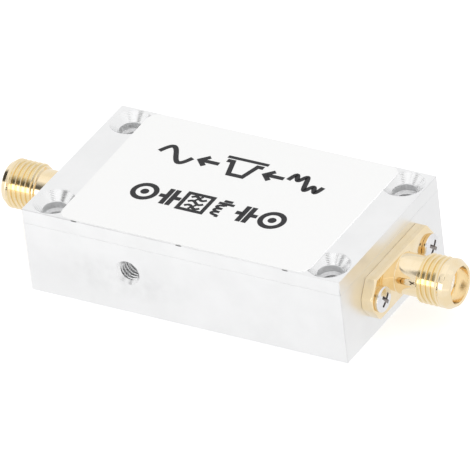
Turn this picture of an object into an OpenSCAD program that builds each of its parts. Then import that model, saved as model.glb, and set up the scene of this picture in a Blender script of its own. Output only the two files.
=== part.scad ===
// Coaxial band-pass filter in a milled aluminium box, with a threaded socket connector at each end.
// Millimetres. X runs along the box, Y across it and Z up, from the centre of its underside.

/* [Box] */
// Length of the box between the two connector flanges
box_len = 45; // [42:0.5:60]
// Width of the box
box_wid = 25; // [24:0.5:36]
// Height of the closed box, lid included
box_h = 12; // [11.5:0.25:16]
// Thickness of the lid
lid_t = 2; // [1.6:0.1:2.4]
// Thickness of the end walls, which carry the connectors
end_wall = 3; // [2:0.25:4]
// Thickness of the long walls
side_wall = 2.5; // [1.5:0.25:3]
// Thickness of the floor
floor_t = 2; // [1:0.25:2.5]
// Bevel on the outer edges of the body and the lid
edge_break = 0.2; // [0.1:0.05:0.3]
// Radius that the milling cutter leaves in the corners of the pocket
cutter_r = 1.5; // [1:0.25:2]

/* [Corner holes] */
// Distance from the outer faces to the axis of each corner hole
corner_inset = 3; // [3:0.1:3.5]
// Diameter of the corner holes through the lid
corner_hole_d = 3.2; // [3:0.1:3.4]
// Diameter of the countersink at the lid's upper face
countersink_d = 5.5; // [5:0.1:5.8]
// Depth of the countersink
countersink_depth = 1.15; // [0.9:0.05:1.3]
// Core diameter of the tapped holes for the cover screws
corner_tap_d = 2.5; // [2:0.1:2.7]
// Depth of the tapped holes below the lid, without the drill point
corner_tap_depth = 7; // [4:0.5:7.5]
// Length of each corner post along the box
post_len = 6.5; // [6.5:0.25:7]

/* [Side hole] */
// Distance from the left end of the box to the axis of the side hole
side_hole_inset = 14.5; // [14:0.25:15.5]
// Core diameter of the tapped side hole
side_tap_d = 2.5; // [2:0.1:2.7]
// Depth of the tapped side hole, without the drill point
side_tap_depth = 4; // [3:0.25:4.25]
// Diameter of the bevel at the mouth of the side hole
side_mouth_d = 3.4; // [3:0.1:3.8]
// Width of the boss behind the side hole
side_boss_w = 6.5; // [6:0.25:7]
// Reach of the boss from the outer face of the long wall
side_boss_reach = 5.5; // [5.5:0.1:6]

/* [Connectors] */
// Reach of each connector from the end wall
port_len = 9.5; // [9:0.1:11]
// Thickness of the flange
flange_t = 1.65; // [1.4:0.05:2.2]
// Length of the flange across the box
flange_len = 15.9; // [15.5:0.1:16.5]
// Height of the flange
flange_h = 5.72; // [5.6:0.02:6.2]
// Height of the flat at each end of the flange
flange_end_flat = 1.5; // [1:0.1:3]
// Length of the slanted corners of the flange
flange_taper = 1.5; // [0.8:0.1:1.7]
// Distance between the two flange screws
flange_pitch = 12.22; // [12:0.02:12.7]
// Diameter of the screw holes in the flange
flange_hole_d = 2.2; // [2.1:0.05:2.6]
// Outer diameter of the screw thread on the barrel
thread_d = 6.35; // [6.2:0.05:6.4]
// Diameter of the plain neck behind the thread
neck_d = 5.3; // [5:0.1:5.5]
// Length of the plain neck
neck_len = 3; // [2:0.1:3.5]
// Length of the tapered nose in front of the thread
nose_len = 0.85; // [0.5:0.05:1.2]
// Diameter of the nose at the mouth
nose_d = 5.3; // [5.1:0.05:5.6]
// Diameter of the recess that takes the mating plug
socket_d = 4.6; // [4.5:0.02:4.7]
// Depth of the recess that takes the mating plug
socket_depth = 1.9; // [1.5:0.1:2.5]
// Diameter of the white insulator
insulator_d = 4.1; // [4:0.02:4.3]
// Diameter of the centre contact
contact_d = 1.27; // [1.2:0.01:1.3]
// Diameter of the hole in the centre contact
contact_hole_d = 0.93; // [0.9:0.01:0.95]
// Depth of the hole in the centre contact
contact_hole_depth = 2.2; // [1.5:0.1:3]
// Width of the slots that spring the centre contact
contact_slot = 0.15; // [0.1:0.05:0.2]
// Length of the tab that lies on the board
tab_len = 3; // [2:0.25:3.5]
// Distance from the contact's axis down to the underside of its tab
tab_drop = 0.4; // [0.35:0.01:0.5]
// Thickness of the tab
tab_t = 0.5; // [0.4:0.05:0.6]

/* [Screws] */
// Diameter of the flange and board screws
screw_d = 2; // [1.8:0.05:2]
// Diameter of the screw heads
head_d = 3.5; // [3.2:0.1:3.8]
// Height of the straight edge of a screw head
head_edge = 0.55; // [0.4:0.05:0.8]
// Height of a screw head at its crown
head_h = 0.95; // [0.9:0.05:1.3]
// Length of a flange screw below its head
flange_screw_len = 6; // [4:0.5:6]
// Length of a board screw below its head
board_screw_len = 4; // [3:0.25:4.5]
// Width of the cross recess
recess_w = 0.45; // [0.3:0.05:0.6]
// Length of the cross recess
recess_len = 1.9; // [1.5:0.1:2.2]
// Depth of the cross recess
recess_depth = 0.6; // [0.4:0.05:0.7]

/* [Label] */
// Bare strip of lid beyond each end of the label
label_end_margin = 4.75; // [4.65:0.05:7]
// Bare strip of lid along each side of the label
label_side_margin = 0.2; // [0.2:0.05:1.5]
// Thickness of the label
label_t = 0.1; // [0.05:0.01:0.2]
// Radius of the label's corners
label_r = 1.6; // [0.5:0.1:3]

/* [Filter board] */
// Thickness of the board
board_t = 1; // [0.8:0.1:1.6]
// Thickness of the copper pattern
copper_t = 0.1; // [0.05:0.01:0.15]
// Width of the signal line
line_w = 1.9; // [1.5:0.1:2.4]
// Distance from the wide pocket's ends to the middle of the first and last coupling capacitors
link_inset = 2.5; // [2:0.1:3]
// Inset of the board screws from the edges of the board
board_screw_inset = 2.15; // [2.1:0.05:2.4]
// Width of the ledge under the long edges of the board
ledge_w = 1.5; // [1:0.25:2]
// Length of the ledge under each end of the board
ledge_len = 5; // [4.6:0.1:6]

/* [Coils and capacitors] */
// Diameter of the coil wire
wire_d = 0.6; // [0.4:0.05:0.7]
// Diameter of a coil at the middle of its wire
coil_d = 2.6; // [2:0.1:2.8]
// Distance from turn to turn
coil_pitch = 0.95; // [0.75:0.05:1.05]
// Gap between a coil and the board
coil_gap = 0.4; // [0.2:0.05:0.5]
// Length of a chip capacitor
chip_len = 2; // [1.6:0.1:2.2]
// Width of a chip capacitor
chip_wid = 1.25; // [0.8:0.05:1.3]
// Height of a chip capacitor
chip_h = 0.85; // [0.5:0.05:1.2]
// Length of the metal end caps of a chip capacitor
chip_cap = 0.4; // [0.3:0.05:0.5]

/* [Hidden] */
$fn = 64;

// Slack between pieces that are pushed together, and what a cut runs past a surface
slack = 0.05;
over = 1;

// What follows from the outer sizes of the box
side_hole_x = side_hole_inset - box_len / 2;
label_len = box_len - 2 * label_end_margin;
label_wid = box_wid - 2 * label_side_margin;

// Heights of the seams and of the connector axis
body_h = box_h - lid_t;
port_z = box_h / 2;

// Half sizes of the pocket: between the end walls, between the long walls, and beside the corner posts
pocket_x = box_len / 2 - end_wall;
pocket_y = box_wid / 2 - side_wall;
main_x = box_len / 2 - post_len;
flange_screw_web = 0.5;
neck_y = flange_pitch / 2 - screw_d / 2 - flange_screw_web;

// The board hangs from the height of the contact tabs
copper_top = port_z - tab_drop;
board_top = copper_top - copper_t;
ledge_z = board_top - board_t;
board_gap = 0.15;
copper_inset = 0.3;
board_screw_x = main_x - board_gap - board_screw_inset;
board_screw_y = pocket_y - board_gap - board_screw_inset;

// Width of the contact tab, a little less than its round pin gives at that height
tab_w = 2 * sqrt(pow(contact_d / 2, 2) - pow(tab_drop, 2)) - slack;

// Drill points are 118 degree cones
drill_slope = tan(31);
screw_hole_spare = 0.6;
thread_bevel = 0.15;

// Cones at both ends of the barrel's thread and at the mouth of its recess
thread_lead_in = 0.25;
socket_bevel = 0.12;

// The tuned circuits along the board
stages = [-1, 0, 1];
links = [-1.5, -0.5, 0.5, 1.5];
stage_pitch = 2 * (main_x - link_inset) / len(stages);
pad_overlap = chip_cap;
coil_turns = 3.5;
coil_stand_off = 1.25;
coil_y = line_w / 2 + coil_stand_off;
coil_end_y = coil_y + coil_turns * coil_pitch;
coil_z = copper_top + coil_gap + (coil_d + wire_d) / 2;
turn_steps = 16;
wire_sides = 8;
pad_margin = 0.6;
ground_inner_y = coil_end_y - pad_margin;

module eased_rectangle(length, width, bevel) {
    x = length / 2;
    y = width / 2;
    polygon([
        [x - bevel, -y], [x, -y + bevel], [x, y - bevel], [x - bevel, y],
        [-x + bevel, y], [-x, y - bevel], [-x, -y + bevel], [-x + bevel, -y]
    ]);
}

// A block on Z = 0 with a bevel on all twelve edges
module eased_block(length, width, height, bevel) {
    intersection() {
        linear_extrude(height) eased_rectangle(length, width, bevel);
        translate([0, width / 2, height / 2]) rotate([90, 0, 0])
            linear_extrude(width) eased_rectangle(length, height, bevel);
        translate([-length / 2, 0, height / 2]) rotate([90, 0, 90])
            linear_extrude(length) eased_rectangle(width, height, bevel);
    }
}

module rounded_slab(length, width, height, radius) {
    x = length / 2 - radius;
    y = width / 2 - radius;
    translate([-length / 2, -y, 0]) cube([length, 2 * y, height]);
    translate([-x, -width / 2, 0]) cube([2 * x, width, height]);
    for (i = [-1, 1], j = [-1, 1]) translate([i * x, j * y, 0]) cylinder(h = height, r = radius);
}

module at_corners(x, y) {
    for (i = [-1, 1], j = [-1, 1]) translate([i * x, j * y, 0]) children();
}

// The plan of the pocket, pulled in by a gap for the board that lies in it
module pocket_slab(height, gap) {
    difference() {
        union() {
            rounded_slab(2 * (pocket_x - gap), 2 * (neck_y - gap), height, cutter_r);
            rounded_slab(2 * (main_x - gap), 2 * (pocket_y - gap), height, cutter_r);
        }
        side_boss(height, gap);
    }
}

module side_boss(height, gap) {
    width = side_boss_w + 2 * gap;
    translate([side_hole_x - width / 2, -box_wid / 2, -over])
        cube([width, side_boss_reach + gap, height + 2 * over]);
}

// A hole along -Z from Z = 0 with a drill point at its end and a 45 degree bevel at its mouth
module drilled_hole(diameter, depth, mouth_d) {
    radius = diameter / 2;
    bevel = mouth_d / 2 - radius;
    rotate_extrude() polygon([
        [0, -depth - radius * drill_slope], [radius, -depth], [radius, -bevel],
        [mouth_d / 2, 0], [mouth_d / 2, over], [0, over]
    ]);
}

// Frame of a connector: Z points out of the end wall, Y stays across the box
module at_port(side) {
    mirror([side < 0 ? 1 : 0, 0, 0]) translate([box_len / 2, 0, port_z]) rotate([0, 90, 0]) children();
}

module at_flange_screws() {
    for (j = [-1, 1]) translate([0, j * flange_pitch / 2, 0]) children();
}

module body() {
    color([0.86, 0.87, 0.88]) difference() {
        eased_block(box_len, box_wid, body_h, edge_break);
        translate([0, 0, ledge_z]) pocket_slab(body_h, 0);
        relief_pocket();
        translate([0, 0, body_h]) at_corners(box_len / 2 - corner_inset, box_wid / 2 - corner_inset)
            drilled_hole(corner_tap_d, corner_tap_depth, corner_hole_d);
        translate([0, 0, ledge_z]) at_corners(board_screw_x, board_screw_y)
            drilled_hole(screw_d, board_screw_len - copper_t - board_t, screw_d + 2 * thread_bevel);
        translate([side_hole_x, -box_wid / 2, port_z]) rotate([90, 0, 0])
            drilled_hole(side_tap_d, side_tap_depth, side_mouth_d);
        for (side = [-1, 1]) at_port(side) {
            translate([0, 0, -end_wall - over]) cylinder(h = end_wall + 2 * over, d = insulator_d + 2 * slack);
            at_flange_screws()
                drilled_hole(screw_d, flange_screw_len - flange_t + screw_hole_spare, screw_d + 2 * thread_bevel);
        }
    }
}

// The deeper part of the pocket, under the board
module relief_pocket() {
    difference() {
        translate([0, 0, floor_t])
            rounded_slab(2 * (main_x - ledge_len), 2 * (pocket_y - ledge_w), body_h, cutter_r);
        side_boss(body_h + over, 0);
    }
}

module lid() {
    color([0.9, 0.91, 0.92]) translate([0, 0, body_h]) difference() {
        eased_block(box_len, box_wid, lid_t, edge_break);
        at_corners(box_len / 2 - corner_inset, box_wid / 2 - corner_inset) {
            translate([0, 0, -over]) cylinder(h = lid_t + 2 * over, d = corner_hole_d);
            translate([0, 0, lid_t - countersink_depth])
                cylinder(h = countersink_depth, d1 = corner_hole_d, d2 = countersink_d);
        }
    }
}

module label() {
    color([0.98, 0.98, 0.98]) translate([0, 0, box_h]) rounded_slab(label_len, label_wid, label_t, label_r);
}

// One turned and milled piece: the two-hole flange, neck, thread and nose
module connector_shell(side) {
    color([0.93, 0.76, 0.38]) at_port(side) difference() {
        union() {
            linear_extrude(flange_t) flange_outline();
            turned_barrel();
        }
        barrel_bore();
        at_flange_screws() translate([0, 0, -over]) cylinder(h = flange_t + 2 * over, d = flange_hole_d);
    }
}

module turned_barrel() {
    thread_start = flange_t + neck_len;
    rotate_extrude() polygon([
        [0, 0], [neck_d / 2, 0], [neck_d / 2, thread_start],
        [thread_d / 2, thread_start + thread_lead_in], [thread_d / 2, port_len - nose_len],
        [nose_d / 2, port_len], [0, port_len]
    ]);
}

// The bore holds the insulator, and the wider recess in front of it takes the mating plug
module barrel_bore() {
    socket_floor = port_len - socket_depth;
    mouth_r = socket_d / 2 + socket_bevel;
    rotate_extrude() polygon([
        [0, -over], [insulator_d / 2, -over], [insulator_d / 2, socket_floor],
        [socket_d / 2, socket_floor], [socket_d / 2, port_len - socket_bevel],
        [mouth_r, port_len], [mouth_r, port_len + over], [0, port_len + over]
    ]);
}

module flange_outline() {
    flat = flange_end_flat / 2;
    x = flange_h / 2;
    y = flange_len / 2;
    shoulder = y - flange_taper;
    polygon([
        [x, -shoulder], [x, shoulder], [flat, y], [-flat, y],
        [-x, shoulder], [-x, -shoulder], [-flat, -y], [flat, -y]
    ]);
}

module insulator(side) {
    color([0.97, 0.97, 0.95]) at_port(side) translate([0, 0, -end_wall]) difference() {
        cylinder(h = end_wall + port_len - socket_depth, d = insulator_d);
        translate([0, 0, -over]) cylinder(h = end_wall + port_len + over, d = contact_d);
    }
}

// A slotted socket in front and a flat tab behind, on one pin
module contact(side) {
    front = port_len - socket_depth;
    color([0.93, 0.76, 0.38]) at_port(side) {
        difference() {
            translate([0, 0, -end_wall]) cylinder(h = end_wall + front, d = contact_d);
            translate([0, 0, front - contact_hole_depth])
                cylinder(h = contact_hole_depth + over, d = contact_hole_d);
            for (turn = [0, 90]) rotate([0, 0, 45 + turn])
                translate([-contact_d, -contact_slot / 2, front - contact_hole_depth])
                    cube([2 * contact_d, contact_slot, contact_hole_depth + over]);
        }
        translate([tab_drop - tab_t, -tab_w / 2, -end_wall - tab_len]) cube([tab_t, tab_w, tab_len]);
    }
}

// A pan-head screw that points along -Z, with its head seated on Z = 0
module pan_screw(length) {
    crown = head_h - head_edge;
    dome_r = (pow(head_d / 2, 2) + pow(crown, 2)) / (2 * crown);
    difference() {
        union() {
            translate([0, 0, -length]) cylinder(h = length, d = screw_d);
            intersection() {
                cylinder(h = head_h, d = head_d);
                translate([0, 0, head_h - dome_r]) sphere(r = dome_r, $fn = 128);
            }
        }
        for (turn = [0, 90]) rotate([0, 0, turn])
            translate([-recess_len / 2, -recess_w / 2, head_h - recess_depth])
                cube([recess_len, recess_w, recess_depth + over]);
    }
}

module flange_screws(side) {
    color([0.8, 0.81, 0.82]) at_port(side) translate([0, 0, flange_t])
        at_flange_screws() pan_screw(flange_screw_len);
}

module board_screws() {
    color([0.8, 0.81, 0.82]) translate([0, 0, copper_top])
        at_corners(board_screw_x, board_screw_y) pan_screw(board_screw_len);
}

module filter_board() {
    color([0.12, 0.42, 0.25]) translate([0, 0, ledge_z]) difference() {
        pocket_slab(board_t, board_gap);
        at_corners(board_screw_x, board_screw_y) translate([0, 0, -over])
            cylinder(h = board_t + 2 * over, d = screw_d + 2 * slack);
    }
}

function stage_x(stage) = stage * stage_pitch;

// A flat copper pad between two opposite corners
module pad(from_x, from_y, to_x, to_y) {
    translate([from_x, from_y, 0]) cube([to_x - from_x, to_y - from_y, copper_t]);
}

module board_tracks() {
    half_line = line_w / 2;
    chip_reach = chip_len / 2 - pad_overlap;
    link_x = stage_x(links[2]) - chip_reach;
    port_pad_x = stage_x(links[3]) + chip_reach;
    finger_y = half_line - pad_overlap + chip_len - pad_overlap;
    color([0.85, 0.6, 0.35]) translate([0, 0, board_top]) {
        for (stage = stages) translate([stage_x(stage), 0, 0]) {
            pad(-link_x, -half_line, link_x, half_line);
            pad(coil_d / 2 - pad_margin, half_line, coil_d / 2 + pad_margin, coil_y + pad_margin);
            pad(-half_line, -ground_inner_y, half_line, -finger_y);
        }
        for (side = [-1, 1]) mirror([side < 0 ? 1 : 0, 0, 0])
            pad(port_pad_x, -half_line, pocket_x - board_gap - copper_inset, half_line);
        ground_strips();
    }
}

// Ground copper along both long edges, clamped under the screw heads
module ground_strips() {
    edge_x = main_x - board_gap - copper_inset;
    edge_y = pocket_y - board_gap - copper_inset;
    difference() {
        for (side = [-1, 1]) mirror([0, side < 0 ? 1 : 0, 0])
            pad(-edge_x, ground_inner_y, edge_x, edge_y);
        side_boss(copper_t, board_gap + copper_inset);
        at_corners(board_screw_x, board_screw_y) translate([0, 0, -over])
            cylinder(h = copper_t + 2 * over, d = screw_d + 2 * slack);
    }
}

// A chip capacitor along X on Z = 0, with its metal end caps standing a little proud
module chip() {
    step = 0.04;
    translate([-chip_len / 2 + chip_cap, -chip_wid / 2 + step, 0])
        cube([chip_len - 2 * chip_cap, chip_wid - 2 * step, chip_h - step]);
    for (i = [-1, 1]) translate([i * (chip_len - chip_cap) / 2 - chip_cap / 2, -chip_wid / 2, 0])
        cube([chip_cap, chip_wid, chip_h]);
}

module coupling_capacitor(link) {
    color([0.72, 0.6, 0.45]) translate([stage_x(link), 0, copper_top]) chip();
}

module resonator_capacitor(stage) {
    color([0.72, 0.6, 0.45])
        translate([stage_x(stage), -line_w / 2 + pad_overlap - chip_len / 2, copper_top])
            rotate([0, 0, 90]) chip();
}

// Points of one wire: up from the first pad, round the turns, and down to the ground strip
function coil_path() = concat(
    [[coil_d / 2, coil_y, copper_top]],
    [for (i = [0 : coil_turns * turn_steps]) let (a = i * 360 / turn_steps)
        [coil_d / 2 * cos(a), coil_y + i * coil_pitch / turn_steps, coil_z + coil_d / 2 * sin(a)]],
    [[-coil_d / 2, coil_end_y, copper_top]]
);

function unit(v) = v / norm(v);

// Direction of a path at one point, straight down or up at its two ends
function heading(path, i) =
    i == 0 ? [0, 0, 1] : i == len(path) - 1 ? [0, 0, -1] : unit(path[i + 1] - path[i - 1]);

function wire_ring(centre, along) =
    let (u = unit(cross(along, [0, 1, 0])), v = cross(u, along))
    [for (k = [0 : wire_sides - 1]) let (a = k * 360 / wire_sides)
        centre + wire_d / 2 * (cos(a) * u + sin(a) * v)];

// A round wire along a path
module wire(path) {
    last = len(path) - 1;
    rings = [for (i = [0 : last]) each wire_ring(path[i], heading(path, i))];
    sides = [for (i = [0 : last - 1], k = [0 : wire_sides - 1]) let (n = (k + 1) % wire_sides)
        [i * wire_sides + k, i * wire_sides + n, (i + 1) * wire_sides + n, (i + 1) * wire_sides + k]];
    first_cap = [for (k = [wire_sides - 1 : -1 : 0]) k];
    last_cap = [for (k = [0 : wire_sides - 1]) last * wire_sides + k];
    polyhedron(points = rings, faces = concat([first_cap], sides, [last_cap]));
}

module resonator_coil(stage) {
    color([0.82, 0.8, 0.76]) translate([stage_x(stage), 0, 0]) wire(coil_path());
}

// Fillets of solder along both sides of each contact tab
module solder_joints() {
    fillet_w = 0.35;
    bare_tab_len = 0.5;
    fillet_len = tab_len - bare_tab_len;
    color([0.75, 0.75, 0.76]) for (side = [-1, 1]) at_port(side)
        translate([tab_drop, 0, -end_wall - tab_len]) for (j = [-1, 1]) mirror([0, j < 0 ? 1 : 0, 0])
            linear_extrude(fillet_len) polygon([
                [0, tab_w / 2], [0, tab_w / 2 + fillet_w], [-fillet_w, tab_w / 2]
            ]);
}

body();
lid();
label();
connector_shell(1);  // connector_shell_right
insulator(1);  // insulator_right
contact(1);  // contact_right
flange_screws(1);  // flange_screws_right
connector_shell(-1);  // connector_shell_left
insulator(-1);  // insulator_left
contact(-1);  // contact_left
flange_screws(-1);  // flange_screws_left
filter_board();
board_tracks();
board_screws();
solder_joints();
resonator_coil(stages[0]);  // resonator_coil_1
resonator_coil(stages[1]);  // resonator_coil_2
resonator_coil(stages[2]);  // resonator_coil_3
resonator_capacitor(stages[0]);  // resonator_capacitor_1
resonator_capacitor(stages[1]);  // resonator_capacitor_2
resonator_capacitor(stages[2]);  // resonator_capacitor_3
coupling_capacitor(links[0]);  // coupling_capacitor_1
coupling_capacitor(links[1]);  // coupling_capacitor_2
coupling_capacitor(links[2]);  // coupling_capacitor_3
coupling_capacitor(links[3]);  // coupling_capacitor_4
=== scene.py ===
import math
from contextlib import contextmanager

import bmesh
import bpy
from mathutils import Matrix, Vector


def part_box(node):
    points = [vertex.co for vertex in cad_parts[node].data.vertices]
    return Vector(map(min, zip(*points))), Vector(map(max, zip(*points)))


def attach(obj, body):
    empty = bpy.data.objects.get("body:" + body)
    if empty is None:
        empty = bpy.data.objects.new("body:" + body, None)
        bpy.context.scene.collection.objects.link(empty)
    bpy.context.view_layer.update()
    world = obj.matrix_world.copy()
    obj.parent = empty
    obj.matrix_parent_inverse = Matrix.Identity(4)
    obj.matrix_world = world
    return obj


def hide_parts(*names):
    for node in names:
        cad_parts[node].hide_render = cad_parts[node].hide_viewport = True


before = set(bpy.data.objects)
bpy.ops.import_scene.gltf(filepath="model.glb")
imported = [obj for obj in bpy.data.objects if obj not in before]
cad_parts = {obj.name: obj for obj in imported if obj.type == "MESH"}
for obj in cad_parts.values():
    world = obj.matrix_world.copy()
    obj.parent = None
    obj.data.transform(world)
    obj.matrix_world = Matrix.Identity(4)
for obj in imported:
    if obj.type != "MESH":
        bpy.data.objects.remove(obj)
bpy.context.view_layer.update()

# Sizes are in millimetres here, in the frame of the CAD: X along the box, Y across it, Z up.
MM = 0.001
BOX_END, BOX_SIDE, SEAM_Z = [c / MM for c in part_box("body")[1]]
LID_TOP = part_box("lid")[1].z / MM
LABEL_HALF_X, LABEL_HALF_Y, LABEL_TOP = [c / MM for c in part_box("label")[1]]
PORT_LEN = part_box("connector_shell_right")[1].x / MM - BOX_END
FLANGE_HALF_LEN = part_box("connector_shell_right")[1].y / MM
PORT_Z = 6.0

# Points closer than this, in metres, are one point
MERGE_GAP = 1e-7

# Bevels of the solids, and the finer edge breaks that the photograph shows in their place
EDGE_BREAK = 0.2
FINE_BREAK = 0.1
SEAM_BREAK = 0.03
LID_BREAK = 0.05
SHARP_ANGLE = math.radians(28)
BEVEL_ANGLE = math.radians(50)

# Corner holes and the tapped hole in the long side
CORNER_INSET = 3.0
CORNER = Vector((BOX_END - CORNER_INSET, BOX_SIDE - CORNER_INSET, 0))
COUNTERSINK_R = 2.6
LID_HOLE_R = 1.62
SIDE_HOLE = Vector((-8.0, -BOX_SIDE, PORT_Z))
SIDE_TAP_DEPTH = 3.7
POST_TAP_DEPTH = 6.5
TAP_PITCH = 0.5
TAP_CORE_R = 1.25
TAP_MAJOR_R = 1.5
TAP_SLACK = 0.06
TAP_LEAD = 0.6

# Connector, measured out of the end wall
FLANGE_T = 1.65
FLANGE_HALF_H = 2.86
FLANGE_FLAT = 0.75
FLANGE_TAPER = 1.5
FLANGE_ROUND = 1.5
FLANGE_EDGE = 0.09
FLANGE_SCREW_Y = 6.11
NECK_R = 2.65
NECK_FILLET = 0.08
NECK_HOLD = 0.04
NECK_OVERLAP = 0.4
THREAD_START = 4.65
THREAD_FULL = 4.9
THREAD_END = 8.65
THREAD_R = 3.175
THREAD_DEPTH = 0.26
THREAD_PITCH = 0.7056
THREAD_PHASE = 4.745
THREAD_SLANT = math.radians(60)
ROOT_FLAT = 0.36
CREST_ROUND = 0.05
CREST_LAND = 0.1
NOSE_R = 2.65
NOSE_ROUND = 0.1
NOSE_LIP = 0.03
SOCKET_R = 2.3
SOCKET_MOUTH_R = 2.42
SOCKET_BEVEL = 0.12
SOCKET_FLOOR = 7.6
BORE_R = 2.05
BORE_SHOWN = 0.3

# Where the grooves begin to run out and over what length, at the right end and the left end (-1)
RUN_OUT = {1: (7.35, 0.7), -1: (8.3, 0.25)}

# Pan-head screw and its cross
SCREW_R = 1.0
SCREW_LEN = 6.0
SCREW_BEVEL = 0.1
HEAD_R = 1.66
HEAD_EDGE = 0.42
HEAD_ROUND = 0.24
HEAD_H = 0.82
RECESS_DEPTH = 0.7
RECESS_REACH = 1.0
RECESS_HALF_W = 0.22

# Turns of the crosses in degrees, at the right end and the left end (-1)
CROSS_TURNS = {1: (40.0, 47.0), -1: (10.0, 62.0)}

# Label and print. Each stroke ends a little lower than the one before it, so no two share a plane.
LABEL_R = 1.6
LABEL_SKEW = -0.2
LABEL_EDGE = 0.02
PRINT_T = 0.012
PRINT_DROP = 0.0002
PRINT_STEP = 0.0001
STROKE = 0.70
BACK_STROKE = 0.68
SYMBOL_PITCH = 3.62
SYMBOLS_MIDDLE = (-0.85, -3.6)
SIGNALS_MIDDLE = (-1.05, 5.0)

# Colours
BLACK = (0.0, 0.0, 0.0)
CASE_ALUMINIUM = (0.92, 0.922, 0.926)
LID_ALUMINIUM = (0.925, 0.927, 0.93)
GOLD = (0.955, 0.815, 0.585)
GOLD_DEEP = (0.92, 0.755, 0.49)
# Painted reflection: a brighter, deeper orange inside the bore, for gold mirrored in gold
GOLD_BORE_REFLECTION = (0.975, 0.80, 0.51)
# Painted shade: a deeper yellow in the thread roots, for the bounced light and shade of the grooves
GOLD_ROOT_SHADE = (0.82, 0.64, 0.32)
NICKEL = (0.89, 0.885, 0.90)
# Painted reflection and shade: gold-brown on the edge of each screw head, where it meets the gold flange
NICKEL_RIM_REFLECTION = (0.82, 0.63, 0.36)
# Painted shade: the dark nickel of the screws' cross recesses stands in for the shade deep in the cross
NICKEL_RECESS_SHADE = (0.36, 0.33, 0.32)
LABEL_WHITE = (0.95, 0.95, 0.945)
INK = (0.018, 0.018, 0.020)
INSULATOR_WHITE = (0.95, 0.94, 0.90)
BOARD_GREEN = (0.02, 0.14, 0.06)
COPPER = (0.90, 0.62, 0.38)
COPPER_DULL = (0.74, 0.45, 0.26)
SOLDER = (0.72, 0.72, 0.73)
SOLDER_DULL = (0.55, 0.55, 0.56)
SILVER = (0.86, 0.84, 0.79)
SILVER_DULL = (0.70, 0.66, 0.58)
CERAMIC = (0.42, 0.28, 0.16)

# Marks on the aluminium: painted shade in short dark dashes along the front edge of the lid, and a smudge
# round the tapped hole
LID_EDGE_SHADE = (-15.0, -0.05, 14.95)
EDGE_SHADE_REACH = (0.5, 0.13, 0.13)
SMUDGE_PLACE = (-9.0, -BOX_SIDE, 5.0)
SMUDGE_REACH = (10.0, 3.0, 3.4)
SMUDGE_DEPTH = 0.07

# Depths of surface marks
STREAK_DEPTH = 0.0004
GRAIN_DEPTH = 0.0003
CUTTER_RING_DEPTH = 0.0015
CUTTER_RING_RATE = 40.0
GOLD_RING_DEPTH = 0.0003
GOLD_GRAIN_DEPTH = 0.0001
FIBRE_DEPTH = 0.0012
INK_GRAIN_DEPTH = 0.0008
WEAVE_DEPTH = 0.0020
WEAVE_RATE = 12.0

# The ranges that hold most of a noise texture, and most of its clouds
NOISE_RANGE = (0.3, 0.7)
CLOUD_RANGE = (0.35, 0.65)

# Levels of the studio, where 1 is white. The sky and the mirrored floor sweep from back to front.
SKY_DIFFUSE = 0.93
SKY_BACK = 0.94
SKY_FRONT = 1.01
SKY_SWEEP = (-0.6, 0.7)
FLOOR_PAPER = 0.8
FLOOR_GLOW = 0.45
FLOOR_SHADED = 0.12
FLOOR_BACK = 0.81
FLOOR_FRONT = 0.885
FLOOR_SWEEP = (-20, 15)
FLOOR_RISE = 0.25
FLOOR_RISE_SWEEP = (30, 90)
FLOOR_REACH = 4000
FLOOR_DROP = 0.02
SWEEP_AZIMUTH = -30

# Lamps: azimuth, elevation, distance, width, height (metres), power, and whether reflections show them
LAMPS = {
    "overhead": (-20, 78, 0.9, 1.4, 1.2, 0.35, True),
    "low_front_left": (-29, 12, 0.5, 0.28, 0.2, 0.26, True),
    "into_mouth": (90, 4, 0.5, 0.15, 0.15, 1.15, False),
}

# The photograph's viewpoint in metres, found from the corners of the box
CAMERA_PLACE = (0.58636, -0.89162, 0.71046)
CAMERA_RIGHT = (0.86592, 0.49006, -0.10048)
CAMERA_UP = (-0.20003, 0.52315, 0.82861)
CAMERA_BACK = (0.45866, -0.69744, 0.55104)
FOCAL_LENGTH = 792.88
SENSOR_WIDTH = 36.0
LENS_SHIFT = (0.00366, -0.00457)


def object_of(name, data):
    """An object in the scene for a mesh, a lamp or a camera."""
    made = bpy.data.objects.new(name, data)
    bpy.context.scene.collection.objects.link(made)
    return made


@contextmanager
def editing(mesh):
    """A mesh opened for changes, which are written back at the end."""
    shape = bmesh.new()
    shape.from_mesh(mesh)
    yield shape
    shape.to_mesh(mesh)
    shape.free()


def mesh_of(name, points, faces, merge=True):
    """A mesh from points in millimetres, with doubled points merged and faces turned outwards."""
    made = bpy.data.meshes.new(name)
    made.from_pydata([Vector(p) * MM for p in points], [], faces)
    with editing(made) as shape:
        if merge:
            bmesh.ops.remove_doubles(shape, verts=shape.verts, dist=MERGE_GAP)
        bmesh.ops.recalc_face_normals(shape, faces=shape.faces)
    return made


def shade(mesh, sharp_angle):
    """Smooth shading, with every edge sharper than the angle kept crisp."""
    limit = math.radians(sharp_angle)
    with editing(mesh) as shape:
        for face in shape.faces:
            face.smooth = True
        for edge in shape.edges:
            edge.smooth = len(edge.link_faces) == 2 and edge.calc_face_angle(0.0) < limit
    return mesh


def baked(target):
    """The mesh that an object's modifiers give. The object itself is removed."""
    evaluated = target.evaluated_get(bpy.context.evaluated_depsgraph_get())
    made = bpy.data.meshes.new_from_object(evaluated)
    bpy.data.objects.remove(target)
    return made


def carved(mesh, cutter):
    """The mesh with the cutter mesh taken out of it."""
    target = object_of("carving", mesh)
    tool = object_of("cutter", cutter)
    cut = target.modifiers.new("cut", "BOOLEAN")
    cut.operation = "DIFFERENCE"
    cut.solver = "EXACT"
    cut.object = tool
    made = baked(target)
    bpy.data.objects.remove(tool)
    return made


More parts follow.
